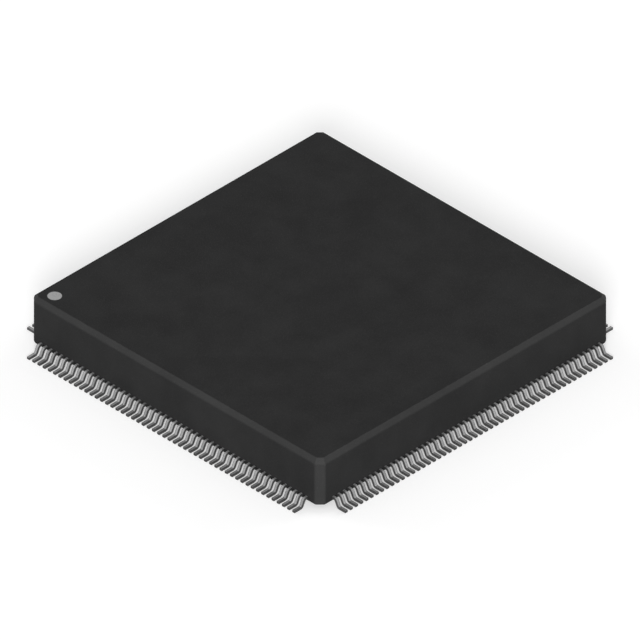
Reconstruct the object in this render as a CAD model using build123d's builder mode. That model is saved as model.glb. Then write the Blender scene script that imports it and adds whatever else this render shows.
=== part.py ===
from build123d import *
import math
import os

os.makedirs("parts", exist_ok=True)

# All sizes are in millimetres. The origin is the centre of the seating plane,
# which the soles of the leads rest on, and +Z points up out of the package top.
# Each lead row is drawn on the -Y side and turned about Z for the other sides.

# Driving sizes of the package
LEADS_PER_SIDE = 52
LEAD_PITCH = 0.5
BODY_SIDE = 28.0
LEAD_REACH = 1.3
OVERALL_HEIGHT = 4.1
STANDOFF = 0.25

# Moulded body
CORNER_CUT = 0.5
TOP_BEVEL = 0.3
EDGE_ROUND = 0.3
MARK_RADIUS = 0.5
MARK_DEPTH = 0.03
MARK_INSET_LEFT = 1.33
MARK_INSET_FRONT = 1.17

# Lead frame, stamped from one strip
STRIP_THICKNESS = 0.18
LEAD_WIDTH = 0.22
SHOULDER_TOP = 0.75
LEG_ANGLE = 65.0
HEEL_REACH = 0.63
FINGER_TIP_PITCH = 0.25
FINGER_TIP_WIDTH = 0.13
FINGER_TIP_LINE = 7.2
PAD_SIDE = 11.6
TIE_BAR_WIDTH = 0.4
TIE_BAR_COVER = 0.4

# Silicon chip and what holds it
CHIP_SIDE = 8.6
CHIP_THICKNESS = 0.35
ADHESIVE_THICKNESS = 0.03

# Bond wires
WIRE_SIDE = 0.04
WIRE_PITCH_ON_CHIP = 0.15
WIRE_INSET_ON_CHIP = 0.12
WIRE_INSET_ON_FINGER = 0.2
WIRE_LOOP_RISE = 0.27
WIRE_LOOP_REACH = 0.2
WIRE_ROOM = 0.04
WIRE_TRIM = 0.2
WIRE_FOOT_ROOM = 0.15
FINGER_TIP_ROOM = 0.1
SLOT_SIDE_ROOM = 0.12

# Places worked out from the driving sizes
body_half = BODY_SIDE / 2
frame_top = SHOULDER_TOP
frame_under = SHOULDER_TOP - STRIP_THICKNESS
adhesive_top = frame_top + ADHESIVE_THICKNESS
chip_top = adhesive_top + CHIP_THICKNESS
first_place = -(LEADS_PER_SIDE - 1) / 2
lead_places = [first_place + count for count in range(LEADS_PER_SIDE)]
side_turns = {"front": 0, "right": 90, "back": 180, "left": 270}


def gull_wing_outline():
    """Points of a lead's bent part, seen from its side, from the body face to the toe."""
    lean = math.radians(LEG_ANGLE)
    bend_set_in = STRIP_THICKNESS * math.tan(lean / 2)
    heel = body_half + HEEL_REACH
    shoulder = heel - frame_under / math.tan(lean)
    toe = body_half + LEAD_REACH
    return [
        (-body_half, frame_top),
        (-shoulder, frame_top),
        (-heel, STRIP_THICKNESS),
        (-toe, STRIP_THICKNESS),
        (-toe, 0),
        (-(heel - bend_set_in), 0),
        (-(shoulder - bend_set_in), frame_under),
        (-body_half, frame_under),
    ]


def finger_outline(place):
    """Plan of one inner finger, from the body face to its tip beside the chip pad."""
    outer = place * LEAD_PITCH
    inner = place * FINGER_TIP_PITCH
    return [
        (outer - LEAD_WIDTH / 2, -body_half),
        (outer + LEAD_WIDTH / 2, -body_half),
        (inner + FINGER_TIP_WIDTH / 2, -FINGER_TIP_LINE),
        (inner - FINGER_TIP_WIDTH / 2, -FINGER_TIP_LINE),
    ]


def wire_points(place):
    """Start on the chip, top of the loop and end on the finger of one bond wire."""
    start_y = CHIP_SIDE / 2 - WIRE_INSET_ON_CHIP
    end_y = FINGER_TIP_LINE + WIRE_INSET_ON_FINGER
    along_finger = WIRE_INSET_ON_FINGER / (body_half - FINGER_TIP_LINE)
    start_x = place * WIRE_PITCH_ON_CHIP
    end_x = place * (FINGER_TIP_PITCH + along_finger * (LEAD_PITCH - FINGER_TIP_PITCH))
    loop_share = WIRE_LOOP_REACH / (end_y - start_y)
    loop_x = start_x + loop_share * (end_x - start_x)
    start = (start_x, -start_y, chip_top)
    loop = (loop_x, -(start_y + WIRE_LOOP_REACH), chip_top + WIRE_LOOP_RISE)
    end = (end_x, -end_y, frame_top)
    return start, loop, end


def past(point, away_from, distance):
    """The point moved on by a distance, away from another point on the same line."""
    step = Vector(*point) - Vector(*away_from)
    return Vector(*point) + step.normalized() * distance


def bond_wire(place):
    """One wire of a row, run on a little way into the chip and the finger."""
    start, loop, end = wire_points(place)
    wire_start = past(start, loop, WIRE_TRIM)
    wire_end = past(end, loop, WIRE_TRIM)
    rise = Vector(*loop) - wire_start
    with BuildPart() as wire:
        with BuildLine() as wire_path:
            Polyline(wire_start, loop, wire_end)
        with BuildSketch(Plane(origin=wire_start, x_dir=(1, 0, 0), z_dir=rise)):
            RegularPolygon(radius=WIRE_SIDE / math.sqrt(3), side_count=3)
        sweep(path=wire_path.line, transition=Transition.RIGHT)
    return wire.part


def turned_rows(row):
    """A row drawn on the -Y side, turned about Z for each of the four sides."""
    return {side: row.rotate(Axis.Z, turn) for side, turn in side_turns.items()}


# One bent lead end
with BuildPart() as gull_wing:
    with BuildSketch(Plane.YZ):
        with BuildLine():
            Polyline(*gull_wing_outline(), close=True)
        make_face()
    extrude(amount=LEAD_WIDTH / 2, both=True)

# The row of leads on the -Y side, each with its inner finger
with BuildPart() as lead_row:
    with BuildSketch(Plane.XY.offset(frame_under)):
        for place in lead_places:
            with BuildLine():
                Polyline(*finger_outline(place), close=True)
            make_face()
    extrude(amount=STRIP_THICKNESS)
    with Locations([(place * LEAD_PITCH, 0, 0) for place in lead_places]):
        add(gull_wing.part)

# Chip pad with a tie bar from each corner, in the plane of the fingers
tie_bar_end = math.sqrt(2) * body_half - CORNER_CUT / math.sqrt(2) - TIE_BAR_COVER
with BuildPart() as chip_pad:
    with BuildSketch(Plane.XY.offset(frame_under)):
        Rectangle(PAD_SIDE, PAD_SIDE)
        with Locations(Rotation(0, 0, 45), Rotation(0, 0, 135)):
            Rectangle(2 * tie_bar_end, TIE_BAR_WIDTH)
    extrude(amount=STRIP_THICKNESS)

# Adhesive layer and silicon chip
with BuildPart() as chip_adhesive:
    with BuildSketch(Plane.XY.offset(frame_top)):
        Rectangle(CHIP_SIDE, CHIP_SIDE)
    extrude(amount=ADHESIVE_THICKNESS)

with BuildPart() as silicon_chip:
    with BuildSketch(Plane.XY.offset(adhesive_top)):
        Rectangle(CHIP_SIDE, CHIP_SIDE)
    extrude(amount=CHIP_THICKNESS)

# The row of bond wires on the -Y side, cut flush with the chip and the fingers
with BuildPart() as wire_row:
    add([bond_wire(place) for place in lead_places])
    for flush_side, flush_height in ((CHIP_SIDE, chip_top), (BODY_SIDE, frame_top)):
        with BuildSketch():
            Rectangle(flush_side, flush_side)
        extrude(amount=flush_height, mode=Mode.SUBTRACT)

# Room in the moulding round one row of wires: a thin bent slot over the wires that
# opens into a groove round the finger tips
row_start, row_loop, row_end = wire_points(lead_places[-1])
slot_start = past(row_start, row_loop, WIRE_TRIM)
slot_end = past(row_end, row_loop, WIRE_TRIM)
groove_outer = FINGER_TIP_LINE + WIRE_INSET_ON_FINGER + WIRE_FOOT_ROOM
with BuildPart() as wire_slot:
    with BuildSketch(Plane.YZ):
        with BuildLine():
            Polyline((slot_start.Y, slot_start.Z), row_loop[1:], (slot_end.Y, slot_end.Z))
        trace(line_width=WIRE_SIDE + 2 * WIRE_ROOM)
        with Locations((-groove_outer, frame_under)):
            Rectangle(
                groove_outer - FINGER_TIP_LINE + FINGER_TIP_ROOM,
                STRIP_THICKNESS + WIRE_ROOM,
                align=(Align.MIN, Align.MIN),
            )
            Rectangle(
                WIRE_TRIM,
                OVERALL_HEIGHT,
                align=(Align.MAX, Align.CENTER),
                mode=Mode.SUBTRACT,
            )
    extrude(amount=body_half, both=True)
    with BuildSketch():
        with BuildLine():
            Polyline(
                (slot_start.X + SLOT_SIDE_ROOM, slot_start.Y + WIRE_TRIM),
                (slot_end.X + SLOT_SIDE_ROOM, slot_end.Y),
                (-slot_end.X - SLOT_SIDE_ROOM, slot_end.Y),
                (-slot_start.X - SLOT_SIDE_ROOM, slot_start.Y + WIRE_TRIM),
                close=True,
            )
        make_face()
    extrude(amount=OVERALL_HEIGHT, mode=Mode.INTERSECT)

# Printed mark beside pin one, flush with the top of the body
with BuildPart() as pin_one_mark:
    with BuildSketch(Plane.XY.offset(OVERALL_HEIGHT - MARK_DEPTH)):
        with Locations((MARK_INSET_LEFT - body_half, MARK_INSET_FRONT - body_half)):
            Circle(MARK_RADIUS)
    extrude(amount=MARK_DEPTH)

lead_rows = turned_rows(lead_row.part)
wire_rows = turned_rows(wire_row.part)
wire_slots = turned_rows(wire_slot.part)

# Moulded body, open where the lead frame, the chip, the wires and the mark sit
with BuildPart() as moulded_body:
    with BuildSketch(Plane.XY.offset(STANDOFF)):
        outline = Rectangle(BODY_SIDE, BODY_SIDE)
        chamfer(outline.vertices(), length=CORNER_CUT)
    extrude(amount=OVERALL_HEIGHT - STANDOFF)
    chamfer(moulded_body.faces().sort_by(Axis.Z)[-1].edges(), length=TOP_BEVEL)
    under_edges, upright_edges, bevel_foot_edges = moulded_body.edges().group_by(Axis.Z)[:3]
    fillet(under_edges + upright_edges + bevel_foot_edges, radius=EDGE_ROUND)
    frame_and_chip = [chip_pad.part, chip_adhesive.part, silicon_chip.part, pin_one_mark.part]
    add([*frame_and_chip, *lead_rows.values(), *wire_slots.values()], mode=Mode.SUBTRACT)

single_pieces = {
    "moulded_body": moulded_body.part,
    "chip_pad": chip_pad.part,
    "chip_adhesive": chip_adhesive.part,
    "silicon_chip": silicon_chip.part,
    "pin_one_mark": pin_one_mark.part,
}
row_pieces = {f"leads_{side}": row for side, row in lead_rows.items()}
row_pieces.update({f"bond_wires_{side}": row for side, row in wire_rows.items()})

for name, piece in {**single_pieces, **row_pieces}.items():
    piece.label = name
    export_step(piece, f"parts/{name}.step")
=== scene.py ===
from dataclasses import dataclass
from enum import Enum
import logging
import math

import bpy
import numpy as np
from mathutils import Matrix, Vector


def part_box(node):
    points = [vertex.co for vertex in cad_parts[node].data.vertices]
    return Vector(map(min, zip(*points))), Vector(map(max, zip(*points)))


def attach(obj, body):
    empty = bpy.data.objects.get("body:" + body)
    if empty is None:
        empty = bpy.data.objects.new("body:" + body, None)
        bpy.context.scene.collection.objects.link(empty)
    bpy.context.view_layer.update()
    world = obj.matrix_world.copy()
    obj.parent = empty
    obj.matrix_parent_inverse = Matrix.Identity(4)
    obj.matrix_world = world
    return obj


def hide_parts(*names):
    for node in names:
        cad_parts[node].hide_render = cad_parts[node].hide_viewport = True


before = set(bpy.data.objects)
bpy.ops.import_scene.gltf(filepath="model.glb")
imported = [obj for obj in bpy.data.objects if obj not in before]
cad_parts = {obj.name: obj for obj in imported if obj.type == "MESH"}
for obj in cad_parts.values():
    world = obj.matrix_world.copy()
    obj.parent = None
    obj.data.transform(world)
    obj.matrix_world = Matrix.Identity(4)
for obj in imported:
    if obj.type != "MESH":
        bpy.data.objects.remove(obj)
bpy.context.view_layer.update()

log = logging.getLogger("integrated_circuit")

Socket = bpy.types.NodeSocket
Colour = tuple[float, float, float]
Span = tuple[float, float]

# One millimetre in metres, and full white
MM = 0.001
WHITE = (1.0, 1.0, 1.0, 1.0)

# The range of a share, and the range that most noise values fall in
SHARE: Span = (0.0, 1.0)
NOISE: Span = (0.3, 0.7)

# The photograph's view, along the diagonal of a cube, in degrees
VIEW_AZIMUTH = 45.0
VIEW_ELEVATION = math.degrees(math.asin(1 / math.sqrt(3)))


def towards(azimuth: float, elevation: float) -> Vector:
    """Unit vector from the object towards a camera or lamp.

    Args:
        azimuth: Turn about Z in degrees, 0 in front and 90 on the right.
        elevation: Height above the horizon in degrees.

    Returns:
        The direction.
    """
    turn, rise = math.radians(azimuth), math.radians(elevation)
    level = math.cos(rise)
    return Vector((math.sin(turn) * level, -math.cos(turn) * level, math.sin(rise)))


class Side(Enum):
    """The four sides of the package, each with its turn about Z in degrees."""

    FRONT = 0
    RIGHT = 90
    BACK = 180
    LEFT = 270

    @property
    def word(self) -> str:
        """The side's name as it stands in the node names."""
        return self.name.lower()

    def turned(self, points: np.ndarray) -> np.ndarray:
        """Points drawn for the front, turned about Z to this side.

        Args:
            points: Array whose last axis holds x, y and z.

        Returns:
            The turned points, in the same layout.
        """
        turn = math.radians(self.value)
        cosine, sine = round(math.cos(turn)), round(math.sin(turn))
        x, y, z = points[..., 0], points[..., 1], points[..., 2]
        return np.stack([cosine * x - sine * y, sine * x + cosine * y, z], axis=-1)


class Bench:
    """A material's node tree, with short calls for the nodes that the finishes share."""

    def __init__(self, name: str) -> None:
        """Starts a material with its surface shader and object coordinates.

        Args:
            name: The material's name.
        """
        self.material = bpy.data.materials.new(name)
        self.material.use_nodes = True
        self.nodes = self.material.node_tree.nodes
        self.links = self.material.node_tree.links
        self.shader = self.nodes["Principled BSDF"]
        self.place = self.nodes.new("ShaderNodeTexCoord").outputs["Object"]

    def set(self, **values: float | tuple[float, ...]) -> None:
        """Sets sockets of the surface shader that are the same all over.

        Args:
            **values: Socket names in lower case with underscores, and their values.
        """
        sockets = {socket.name.lower().replace(" ", "_"): socket for socket in self.shader.inputs}
        for name, value in values.items():
            sockets[name].default_value = value

    def noise(self, grain_mm: float, detail: float, place: Socket | None = None) -> Socket:
        """Cloudy noise, in object coordinates unless others are given.

        Args:
            grain_mm: Size of one cloud, in millimetres.
            detail: Octaves of finer noise.
            place: Other coordinates for the noise.

        Returns:
            The noise value, about 0.3 to 0.7.
        """
        node = self.nodes.new("ShaderNodeTexNoise")
        node.inputs["Scale"].default_value = 1.0 / (grain_mm * MM)
        node.inputs["Detail"].default_value = detail
        self.links.new(self.place if place is None else place, node.inputs["Vector"])
        return node.outputs["Fac"]

    def streaks(self, grain_mm: float, length_mm: float) -> Socket:
        """Noise drawn out along Z, as the rolling marks of strip are.

        Args:
            grain_mm: Width of one streak, in millimetres.
            length_mm: Length of one streak, in millimetres.

        Returns:
            The noise value, about 0.3 to 0.7.
        """
        mapping = self.nodes.new("ShaderNodeMapping")
        mapping.inputs["Scale"].default_value = (1.0, 1.0, grain_mm / length_mm)
        self.links.new(self.place, mapping.inputs["Vector"])
        return self.noise(grain_mm, detail=3.0, place=mapping.outputs["Vector"])

    def attribute(self, name: str) -> Socket:
        """A number stored on the mesh, read by its name.

        Args:
            name: The attribute's name.

        Returns:
            The attribute's value.
        """
        node = self.nodes.new("ShaderNodeAttribute")
        node.attribute_name = name
        return node.outputs["Fac"]

    def spread(self, value: Socket, source: Span, target: Span = SHARE) -> Socket:
        """A value carried in proportion from one range to another, and held at its ends.

        Args:
            value: The value to carry over.
            source: The range that the value has.
            target: The range that it gets.

        Returns:
            The value in its new range.
        """
        node = self.nodes.new("ShaderNodeMapRange")
        node.inputs["From Min"].default_value, node.inputs["From Max"].default_value = source
        node.inputs["To Min"].default_value, node.inputs["To Max"].default_value = target
        self.links.new(value, node.inputs["Value"])
        return node.outputs["Result"]

    def blend(self, share: Socket, first: Colour | Socket, second: Colour | Socket) -> Socket:
        """Two colours mixed by a share.

        Args:
            share: 0 for the first colour and 1 for the second.
            first: A colour, or a socket that gives one.
            second: A colour, or a socket that gives one.

        Returns:
            The mixed colour.
        """
        node = self.nodes.new("ShaderNodeMix")
        node.data_type = "RGBA"
        self.links.new(share, node.inputs["Factor"])
        for socket, colour in ((node.inputs["A"], first), (node.inputs["B"], second)):
            if isinstance(colour, tuple):
                socket.default_value = (*colour, 1.0)
            else:
                self.links.new(colour, socket)
        return node.outputs["Result"]

    def slant(self) -> Socket:
        """How far a face leans from all three axes: the sum of |nx|, |ny| and |nz|, less one.

        Returns:
            0 on a face square to an axis, 0.41 on an edge's bevel and 0.7 on a corner's.
        """
        normal = self.nodes.new("ShaderNodeNewGeometry").outputs["True Normal"]
        size = self.nodes.new("ShaderNodeVectorMath")
        size.operation = "ABSOLUTE"
        self.links.new(normal, size.inputs[0])
        total = self.nodes.new("ShaderNodeVectorMath")
        total.operation = "DOT_PRODUCT"
        total.inputs[1].default_value = (1.0, 1.0, 1.0)
        self.links.new(size.outputs["Vector"], total.inputs[0])
        return self.math("SUBTRACT", total.outputs["Value"], 1.0)

    def math(self, operation: str, first: Socket, second: Socket | float) -> Socket:
        """One sum on two values.

        Args:
            operation: The kind of sum, such as MAXIMUM or MULTIPLY.
            first: The first value.
            second: The second value, or a number.

        Returns:
            The result.
        """
        node = self.nodes.new("ShaderNodeMath")
        node.operation = operation
        self.links.new(first, node.inputs[0])
        if isinstance(second, float):
            node.inputs[1].default_value = second
        else:
            self.links.new(second, node.inputs[1])
        return node.outputs["Value"]

    def mean(self, first: Socket, second: Socket) -> Socket:
        """The mean of two values."""
        return self.math("MULTIPLY", self.math("ADD", first, second), 0.5)

    def bump(self, height: Socket, depth_mm: float, strength: float) -> None:
        """Raises the surface shader's normal by a height.

        Args:
            height: The height, from 0 to 1.
            depth_mm: What a height of 1 measures, in millimetres.
            strength: Share of the bump that is used.
        """
        node = self.nodes.new("ShaderNodeBump")
        node.inputs["Distance"].default_value = depth_mm * MM
        node.inputs["Strength"].default_value = strength
        self.links.new(height, node.inputs["Height"])
        self.links.new(node.outputs["Normal"], self.shader.inputs["Normal"])

    def colour(self, socket: Socket) -> None:
        """Gives the surface shader its colour."""
        self.links.new(socket, self.shader.inputs["Base Color"])

    def roughness(self, socket: Socket) -> None:
        """Gives the surface shader its roughness."""
        self.links.new(socket, self.shader.inputs["Roughness"])


@dataclass(frozen=True)
class MouldedEpoxy:
    """Dark grey moulding compound with a spark-eroded grain and specks of filler.

    It carries a painted highlight, paler where it leans from the axes: at its bevels, and more at
    its corners.
    """

    dark: Colour = (0.022, 0.022, 0.0222)
    light: Colour = (0.029, 0.029, 0.0292)
    # painted highlight colour for the bevels and corner faces
    rubbed: Colour = (0.052, 0.052, 0.052)
    filler: Colour = (0.056, 0.056, 0.055)
    grain_mm: float = 0.07
    cloud_mm: float = 2.6
    speck_mm: float = 0.05
    mottle_span: Span = (0.38, 0.62)
    rubbed_slant: Span = (0.04, 0.72)
    rubbed_share: Span = (0.75, 1.0)
    speck_span: Span = (0.7, 0.78)
    speck_share: Span = (0.0, 0.8)
    roughness: Span = (0.6, 0.78)
    grain_depth_mm: float = 0.008
    grain_strength: float = 0.9
    gloss: float = 0.01

    def material(self) -> bpy.types.Material:
        """Builds the finish.

        Returns:
            The node material.
        """
        bench = Bench("moulded_epoxy")
        grain = bench.noise(self.grain_mm, detail=3.0)
        cloud = bench.noise(self.cloud_mm, detail=4.0)
        mottle = bench.spread(bench.mean(grain, cloud), self.mottle_span)
        body = bench.blend(mottle, self.dark, self.light)
        # painted highlight where faces lean from the axes, its strength varied by the cloud
        bevel = bench.spread(bench.slant(), self.rubbed_slant)
        painted_highlight = bench.math("MULTIPLY", bevel, bench.spread(cloud, NOISE, self.rubbed_share))
        fine = bench.noise(self.speck_mm, detail=0.0)
        specks = bench.spread(fine, self.speck_span, self.speck_share)
        bench.colour(bench.blend(specks, bench.blend(painted_highlight, body, self.rubbed), self.filler))
        bench.roughness(bench.spread(grain, NOISE, self.roughness))
        bench.bump(grain, self.grain_depth_mm, self.grain_strength)
        bench.set(specular_ior_level=self.gloss)
        return bench.material


@dataclass(frozen=True)
class MattTin:
    """Plated lead strip: satin grey metal in each lead's own tone, darker towards the long edges of
    each wall.

    The side walls are darkened with painted shade, and the tips and toes, where the plating is cut
    through, are darker.
    """

    dull: Colour = (0.23, 0.23, 0.232)
    bright: Colour = (0.37, 0.37, 0.373)
    # painted shade for the side walls, and the darker bare metal of the cut ends
    cut_and_side_shade: Colour = (0.04, 0.0395, 0.039)
    # darker colour towards the long edges of each wall
    edge_dark: Colour = (0.035, 0.035, 0.0345)
    edge_dark_from: float = 0.45
    edge_dark_share: Span = (0.0, 1.0)
    grain_mm: float = 0.03
    streak_mm: float = 0.4
    mottle_span: Span = (0.2, 0.8)
    roughness: Span = (0.4, 0.55)
    streak_depth_mm: float = 0.002
    streak_strength: float = 0.3
    metal_share: float = 0.6

    def material(self) -> bpy.types.Material:
        """Builds the finish.

        Returns:
            The node material.
        """
        bench = Bench("matt_tin")
        grain = bench.noise(self.grain_mm, detail=3.0)
        streak = bench.streaks(self.grain_mm, self.streak_mm)
        mottle = bench.mean(grain, bench.attribute(LeadRow.TONE))
        plated = bench.blend(bench.spread(mottle, self.mottle_span), self.dull, self.bright)
        # darker towards the long edges of each wall
        across = bench.attribute(LeadRow.ACROSS)
        across_squared = bench.math("MULTIPLY", across, across)
        near_edge = bench.spread(across_squared, (self.edge_dark_from**2, 1.0), self.edge_dark_share)
        darkened = bench.blend(near_edge, plated, self.edge_dark)
        # painted shade on the side walls, bare metal on the cut ends
        bench.colour(bench.blend(bench.attribute(LeadRow.CUT), darkened, self.cut_and_side_shade))
        bench.roughness(bench.spread(streak, NOISE, self.roughness))
        bench.bump(streak, self.streak_depth_mm, self.streak_strength)
        bench.set(metallic=self.metal_share)
        return bench.material


@dataclass(frozen=True)
class MarkInk:
    """Light grey printed ink, thinner and darker in small spots."""

    thin: Colour = (0.255, 0.255, 0.255)
    full: Colour = (0.31, 0.31, 0.31)
    spot_mm: float = 0.09
    spot_span: Span = (0.36, 0.52)
    roughness: Span = (0.5, 0.66)
    ink_depth_mm: float = 0.004
    ink_strength: float = 0.25
    gloss: float = 0.3

    def material(self) -> bpy.types.Material:
        """Builds the finish.

        Returns:
            The node material.
        """
        bench = Bench("printed_ink")
        spots = bench.noise(self.spot_mm, detail=4.0)
        bench.colour(bench.blend(bench.spread(spots, self.spot_span), self.thin, self.full))
        bench.roughness(bench.spread(spots, NOISE, self.roughness))
        bench.bump(spots, self.ink_depth_mm, self.ink_strength)
        bench.set(specular_ior_level=self.gloss)
        return bench.material


@dataclass(frozen=True)
class InnerMetal:
    """Bare metal inside the moulding, with a fine drawn grain and spots of tarnish."""

    name: str
    clean: Colour
    darkened: Colour
    spot_mm: float = 0.5
    spot_span: Span = (0.4, 0.7)
    streak_mm: float = 0.05
    streak_stretch: float = 10.0
    roughness: Span = (0.25, 0.42)
    streak_depth_mm: float = 0.002
    streak_strength: float = 0.25

    def material(self) -> bpy.types.Material:
        """Builds the finish.

        Returns:
            The node material.
        """
        bench = Bench(self.name)
        spots = bench.noise(self.spot_mm, detail=4.0)
        streak = bench.streaks(self.streak_mm, self.streak_stretch * self.streak_mm)
        bench.colour(bench.blend(bench.spread(spots, self.spot_span), self.clean, self.darkened))
        bench.roughness(bench.spread(streak, NOISE, self.roughness))
        bench.bump(streak, self.streak_depth_mm, self.streak_strength)
        bench.set(metallic=1.0)
        return bench.material


@dataclass(frozen=True)
class SilverAdhesive:
    """Silver-filled adhesive: pale grey paste with flakes of metal."""

    paste: Colour = (0.34, 0.34, 0.33)
    flake: Colour = (0.62, 0.62, 0.6)
    flake_mm: float = 0.03
    flake_span: Span = (0.5, 0.6)
    roughness: Span = (0.6, 0.35)
    flake_depth_mm: float = 0.004
    flake_strength: float = 0.3

    def material(self) -> bpy.types.Material:
        """Builds the finish.

        Returns:
            The node material.
        """
        bench = Bench("silver_adhesive")
        flakes = bench.noise(self.flake_mm, detail=2.0)
        bench.colour(bench.blend(bench.spread(flakes, self.flake_span), self.paste, self.flake))
        bench.roughness(bench.spread(flakes, self.flake_span, self.roughness))
        bench.bump(flakes, self.flake_depth_mm, self.flake_strength)
        return bench.material


@dataclass(frozen=True)
class PatternedSilicon:
    """A chip's face: dark and glossy, with square blocks of fine circuit in different tones."""

    ground: Colour = (0.035, 0.037, 0.05)
    circuit: Colour = (0.11, 0.10, 0.12)
    block_mm: float = 0.45
    block_span: Span = (0.7, 0.1)
    line_mm: float = 0.02
    roughness: Span = (0.12, 0.22)
    line_depth_mm: float = 0.0005
    line_strength: float = 0.2

    def material(self) -> bpy.types.Material:
        """Builds the finish.

        Returns:
            The node material.
        """
        bench = Bench("patterned_silicon")
        blocks = bench.nodes.new("ShaderNodeTexVoronoi")
        blocks.distance = "CHEBYCHEV"
        blocks.inputs["Scale"].default_value = 1.0 / (self.block_mm * MM)
        bench.links.new(bench.place, blocks.inputs["Vector"])
        tone = bench.spread(blocks.outputs["Distance"], self.block_span)
        lines = bench.noise(self.line_mm, detail=1.0)
        bench.colour(bench.blend(bench.math("MULTIPLY", tone, lines), self.ground, self.circuit))
        bench.roughness(bench.spread(lines, NOISE, self.roughness))
        bench.bump(lines, self.line_depth_mm, self.line_strength)
        return bench.material


@dataclass
class LeadRow:
    """One side's leads: each a strip of even thickness with two pressed bends and an inner finger.

    The row is drawn on the front, with the strips side by side along X, and turned to its side.
    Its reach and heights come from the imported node, and its bends from the fields below.
    """

    side: Side
    count: int = 52
    lead_width: float = 0.22 * MM
    thickness: float = 0.18 * MM
    finger_tip_pitch: float = 0.25 * MM
    finger_tip_width: float = 0.13 * MM
    heel_reach: float = 0.63 * MM
    lean_degrees: float = 65.0
    inner_bend_radius: float = 0.12 * MM
    bend_steps: int = 5
    # share of painted shade on the side walls
    edge_share: float = 0.85
    crease_degrees: float = 35.0

    TONE = "lead_tone"
    CUT = "cut_and_side_shade_share"
    ACROSS = "across_strip"
    RING = 4

    @property
    def node(self) -> str:
        """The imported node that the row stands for."""
        return f"leads_{self.side.word}"

    def profile(self) -> tuple[np.ndarray, np.ndarray]:
        """Upper and lower edges of the strip seen from its side, station by station.

        A station on a bend lies on two arcs about one centre: for the shoulder the upper
        radius is the inner one plus the thickness, and for the heel it is the inner one.
        An arc's point is its centre plus, or at the heel minus, the radius along the
        direction (sine, cosine) of the lean at that station.

        Returns:
            Two arrays of distance from the package's centre and height, of equal length.
        """
        low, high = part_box("leads_front")
        top, toe, tip = high.z, -low.y, -high.y
        body_face = -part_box("moulded_body")[0].y
        lean = math.radians(self.lean_degrees)
        outer_radius = self.inner_bend_radius + self.thickness
        heel = body_face + self.heel_reach
        shoulder = heel - (top - self.thickness) / math.tan(lean)

        leans = np.linspace(0.0, lean, self.bend_steps)
        ray = np.stack([np.sin(leans), np.cos(leans)], axis=-1)
        half_lean = math.tan(lean / 2)
        shoulder_centre = np.array([shoulder - outer_radius * half_lean, top - outer_radius])
        heel_centre = np.array([heel + self.inner_bend_radius * half_lean, outer_radius])
        upper = np.vstack(
            [
                [(tip, top), (body_face, top)],
                shoulder_centre + outer_radius * ray,
                heel_centre - self.inner_bend_radius * ray[::-1],
                [(toe, self.thickness)],
            ]
        )
        lower = np.vstack(
            [
                [(tip, top - self.thickness), (body_face, top - self.thickness)],
                shoulder_centre + self.inner_bend_radius * ray,
                heel_centre - outer_radius * ray[::-1],
                [(toe, 0.0)],
            ]
        )
        return upper, lower

    def corners(self) -> np.ndarray:
        """The four corners of each station of each lead.

        Along X a lead is centred on its place in the pitch. Between the body face and the
        finger's tip, centre and width run in a straight line to the tip's own pitch and width.

        Returns:
            Array of leads, stations, four corners and x, y, z.
        """
        upper, lower = self.profile()
        pitch = (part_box("leads_front")[1].x * 2 - self.lead_width) / (self.count - 1)
        places = np.arange(self.count) - (self.count - 1) / 2
        at_tip = (np.arange(len(upper)) == 0).astype(float)
        pitches = pitch + at_tip * (self.finger_tip_pitch - pitch)
        widths = self.lead_width + at_tip * (self.finger_tip_width - self.lead_width)
        middle = places[:, None] * pitches[None, :]
        left = middle - widths / 2
        right = middle + widths / 2
        ones = np.ones_like(middle)
        ring = [
            np.stack([edge_x, -edge[:, 0] * ones, edge[:, 1] * ones], axis=-1)
            for edge_x, edge in ((left, upper), (right, upper), (right, lower), (left, lower))
        ]
        return np.stack(ring, axis=2)

    def mark(self, mesh: bpy.types.Mesh, leads: int, stations: int) -> None:
        """Stores what the finish reads, in the order of the mesh's faces: walls, tips and toes.

        The tone is one seeded random value a lead. The share of cut metal and painted shade is 0 on
        the upper and lower walls, edge_share on the side walls, where it is painted shade, and 1 on
        the cut ends.
        The place across the strip runs from -1 to 1 between the two long edges of each wall.

        Args:
            mesh: The row's mesh.
            leads: How many leads it has.
            stations: How many rings of four corners each lead has.
        """
        stretches = leads * (stations - 1)
        tones = np.random.default_rng(self.side.value).random(leads)
        tone = np.concatenate([np.repeat(tones, (stations - 1) * self.RING), tones, tones])
        # painted shade on the side walls
        wall_shades = np.tile([0.0, self.edge_share, 0.0, self.edge_share], stretches)
        cut_and_shade = np.concatenate([wall_shades, np.ones(2 * leads)])
        wall_places = np.tile([-1.0, -1.0, 1.0, 1.0], self.RING * stretches)
        across = np.concatenate([wall_places, np.zeros(2 * self.RING * leads)])
        for name, domain, values in (
            (self.TONE, "FACE", tone),
            (self.CUT, "FACE", cut_and_shade),
            (self.ACROSS, "CORNER", across),
        ):
            attribute = mesh.attributes.new(name, "FLOAT", domain)
            attribute.data.foreach_set("value", values.astype(np.float32))

    def build(self, finish: bpy.types.Material) -> bpy.types.Object:
        """Makes the row's mesh from the leads' corners and marks it for its finish.

        Each wall joins two neighbouring corners of one station to the same two of the next,
        and a tip and a toe close each lead.

        Args:
            finish: The leads' material.

        Returns:
            The finished piece.
        """
        corners = self.side.turned(self.corners())
        leads, stations, ring = corners.shape[:3]
        first = (np.arange(leads) * stations * ring)[:, None, None]
        near = first + (np.arange(stations - 1) * ring)[None, :, None]
        far = near + ring
        corner = np.arange(ring)
        after = (corner + 1) % ring
        walls = np.stack([near + corner, far + corner, far + after, near + after], axis=-1)
        tips = first[:, 0] + corner
        toes = first[:, 0] + (stations - 1) * ring + corner[::-1]
        faces = np.concatenate([walls.reshape(-1, ring), tips, toes])

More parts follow.
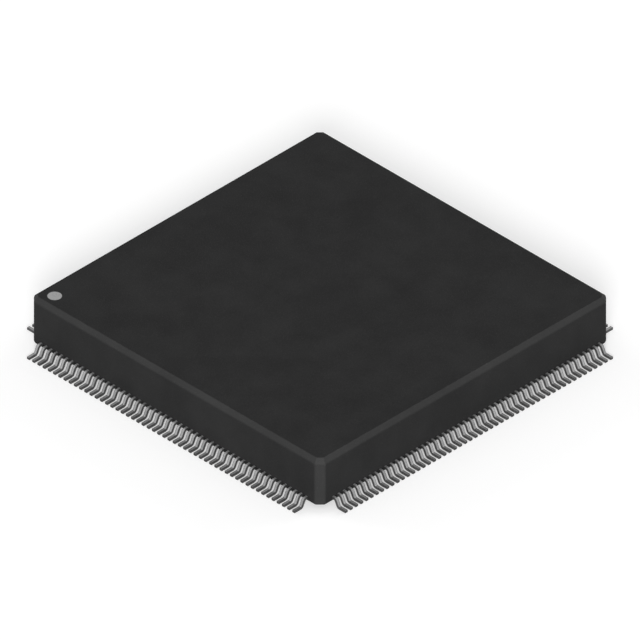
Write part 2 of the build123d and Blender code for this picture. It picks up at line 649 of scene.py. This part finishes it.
        mesh = bpy.data.meshes.new(f"lead_row_{self.side.word}")
        mesh.from_pydata(corners.reshape(-1, 3).tolist(), [], faces.tolist())
        mesh.shade_smooth()
        mesh.set_sharp_from_angle(angle=math.radians(self.crease_degrees))

        self.mark(mesh, leads, stations)
        mesh.materials.append(finish)

        piece = bpy.data.objects.new(f"lead_row_{self.side.word}", mesh)
        bpy.context.scene.collection.objects.link(piece)
        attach(piece, "root")
        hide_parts(self.node)
        return piece


@dataclass
class Package:
    """The moulding, its mark and what it holds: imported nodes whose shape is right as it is."""

    copper: InnerMetal = InnerMetal(
        "pad_copper", clean=(0.72, 0.38, 0.24), darkened=(0.46, 0.22, 0.13)
    )
    gold: InnerMetal = InnerMetal(
        "drawn_gold", clean=(0.95, 0.68, 0.28), darkened=(0.82, 0.55, 0.2), spot_mm=0.2
    )

    def dress(self) -> list[bpy.types.Object]:
        """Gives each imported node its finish.

        Returns:
            The dressed nodes.
        """
        finishes = {
            "moulded_body": MouldedEpoxy().material(),
            "pin_one_mark": MarkInk().material(),
            "chip_pad": self.copper.material(),
            "chip_adhesive": SilverAdhesive().material(),
            "silicon_chip": PatternedSilicon().material(),
        }
        drawn_gold = self.gold.material()
        finishes.update({f"bond_wires_{side.word}": drawn_gold for side in Side})
        nodes = [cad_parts[name] for name in finishes]
        for node, finish in zip(nodes, finishes.values()):
            node.data.materials.clear()
            node.data.materials.append(finish)
        return nodes


@dataclass(frozen=True)
class Lamp:
    """A soft distant lamp.

    Azimuth and elevation say where it stands, in degrees. Its strength is in watts a square
    metre, and its spread is how wide it looks from the object, in degrees.
    """

    name: str
    azimuth: float
    elevation: float
    strength: float
    spread: float
    distance: float = 0.25

    def hang(self) -> None:
        """Puts the lamp in its place, aimed at the object."""
        data = bpy.data.lights.new(self.name, "SUN")
        data.energy = self.strength
        data.angle = math.radians(self.spread)
        lamp = bpy.data.objects.new(self.name, data)
        away = towards(self.azimuth, self.elevation)
        lamp.location = away * self.distance
        lamp.rotation_mode = "QUATERNION"
        lamp.rotation_quaternion = (-away).to_track_quat("-Z", "Y")
        bpy.context.scene.collection.objects.link(lamp)


@dataclass
class Studio:
    """A pale floor, even white surroundings, three soft lamps and the photograph's camera."""

    floor_half: float = 0.6
    floor_colour: Colour = (0.7, 0.7, 0.7)
    floor_roughness: float = 0.9
    floor_glow: float = 0.39
    surround: float = 0.45
    lamps: tuple[Lamp, ...] = (
        Lamp("front_lamp", azimuth=VIEW_AZIMUTH - 2.0, elevation=24.3, strength=2.6, spread=20.0),
        Lamp("left_lamp", azimuth=VIEW_AZIMUTH - 125.0, elevation=14.0, strength=1.2, spread=35.0),
        Lamp("right_lamp", azimuth=VIEW_AZIMUTH + 125.0, elevation=14.0, strength=1.2, spread=35.0),
    )
    photo_width_px: float = 640.0
    px_per_mm: float = 14.716
    aim_height: float = 2.014 * MM
    view_distance: float = 0.25
    clip: Span = (0.01, 2.0)

    def floor(self) -> None:
        """A plain square floor that keeps shadows and reads as white to the camera."""
        half = self.floor_half
        mesh = bpy.data.meshes.new("floor")
        square = [(-half, -half, 0.0), (half, -half, 0.0), (half, half, 0.0), (-half, half, 0.0)]
        mesh.from_pydata(square, [], [(0, 1, 2, 3)])
        bench = Bench("pale_floor")
        bench.set(
            base_color=(*self.floor_colour, 1.0),
            roughness=self.floor_roughness,
            specular_ior_level=0.0,
            emission_color=WHITE,
        )
        seen = self.seen_directly(bench.nodes, bench.links)
        glow = bench.spread(seen, SHARE, (0.0, self.floor_glow))
        bench.links.new(glow, bench.shader.inputs["Emission Strength"])
        mesh.materials.append(bench.material)
        plane = bpy.data.objects.new("floor", mesh)
        bpy.context.scene.collection.objects.link(plane)

    @staticmethod
    def seen_directly(nodes: bpy.types.Nodes, links: bpy.types.NodeLinks) -> Socket:
        """Whether a ray shows what it meets: from the camera, off gloss or through glass.

        Args:
            nodes: The tree's nodes.
            links: The tree's links.

        Returns:
            1 for such a ray and 0 for any other.
        """
        path = nodes.new("ShaderNodeLightPath")
        seen = path.outputs["Is Camera Ray"]
        for kind in ("Is Glossy Ray", "Is Transmission Ray"):
            either = nodes.new("ShaderNodeMath")
            either.operation = "MAXIMUM"
            links.new(seen, either.inputs[0])
            links.new(path.outputs[kind], either.inputs[1])
            seen = either.outputs["Value"]
        return seen

    def surroundings(self) -> None:
        """Even light all round, which the camera and polished metal see as white."""
        world = bpy.data.worlds.new("white_room")
        world.use_nodes = True
        nodes, links = world.node_tree.nodes, world.node_tree.links
        level = nodes.new("ShaderNodeMapRange")
        level.inputs["To Min"].default_value = self.surround
        level.inputs["To Max"].default_value = 1.0
        links.new(self.seen_directly(nodes, links), level.inputs["Value"])
        links.new(level.outputs["Result"], nodes["Background"].inputs["Strength"])
        nodes["Background"].inputs["Color"].default_value = WHITE
        bpy.context.scene.world = world

    def camera(self) -> None:
        """The photograph's view: corner on, from above, with no perspective."""
        data = bpy.data.cameras.new("photo_camera")
        data.type = "ORTHO"
        data.ortho_scale = self.photo_width_px / self.px_per_mm * MM
        data.clip_start, data.clip_end = self.clip
        camera = bpy.data.objects.new("photo_camera", data)
        back = towards(VIEW_AZIMUTH, VIEW_ELEVATION)
        camera.location = Vector((0.0, 0.0, self.aim_height)) + back * self.view_distance
        camera.rotation_mode = "QUATERNION"
        camera.rotation_quaternion = (-back).to_track_quat("-Z", "Y")
        bpy.context.scene.collection.objects.link(camera)
        bpy.context.scene.camera = camera

    def set_up(self) -> None:
        """Floor, surroundings, lamps, camera and plain colour handling."""
        self.floor()
        self.surroundings()
        for lamp in self.lamps:
            lamp.hang()
        self.camera()
        bpy.context.scene.view_settings.view_transform = "Standard"


def main() -> None:
    """Builds the package and the studio and reports each piece."""
    logging.basicConfig(level=logging.INFO, format="%(message)s")
    pieces = Package().dress()
    tin = MattTin().material()
    pieces += [LeadRow(side).build(tin) for side in Side]
    for piece in pieces:
        finish = piece.data.materials[0].name
        log.info("%s: %d faces, finish %s", piece.name, len(piece.data.polygons), finish)
    Studio().set_up()
    log.info("bounds written")


if __name__ == "__main__":
    main()
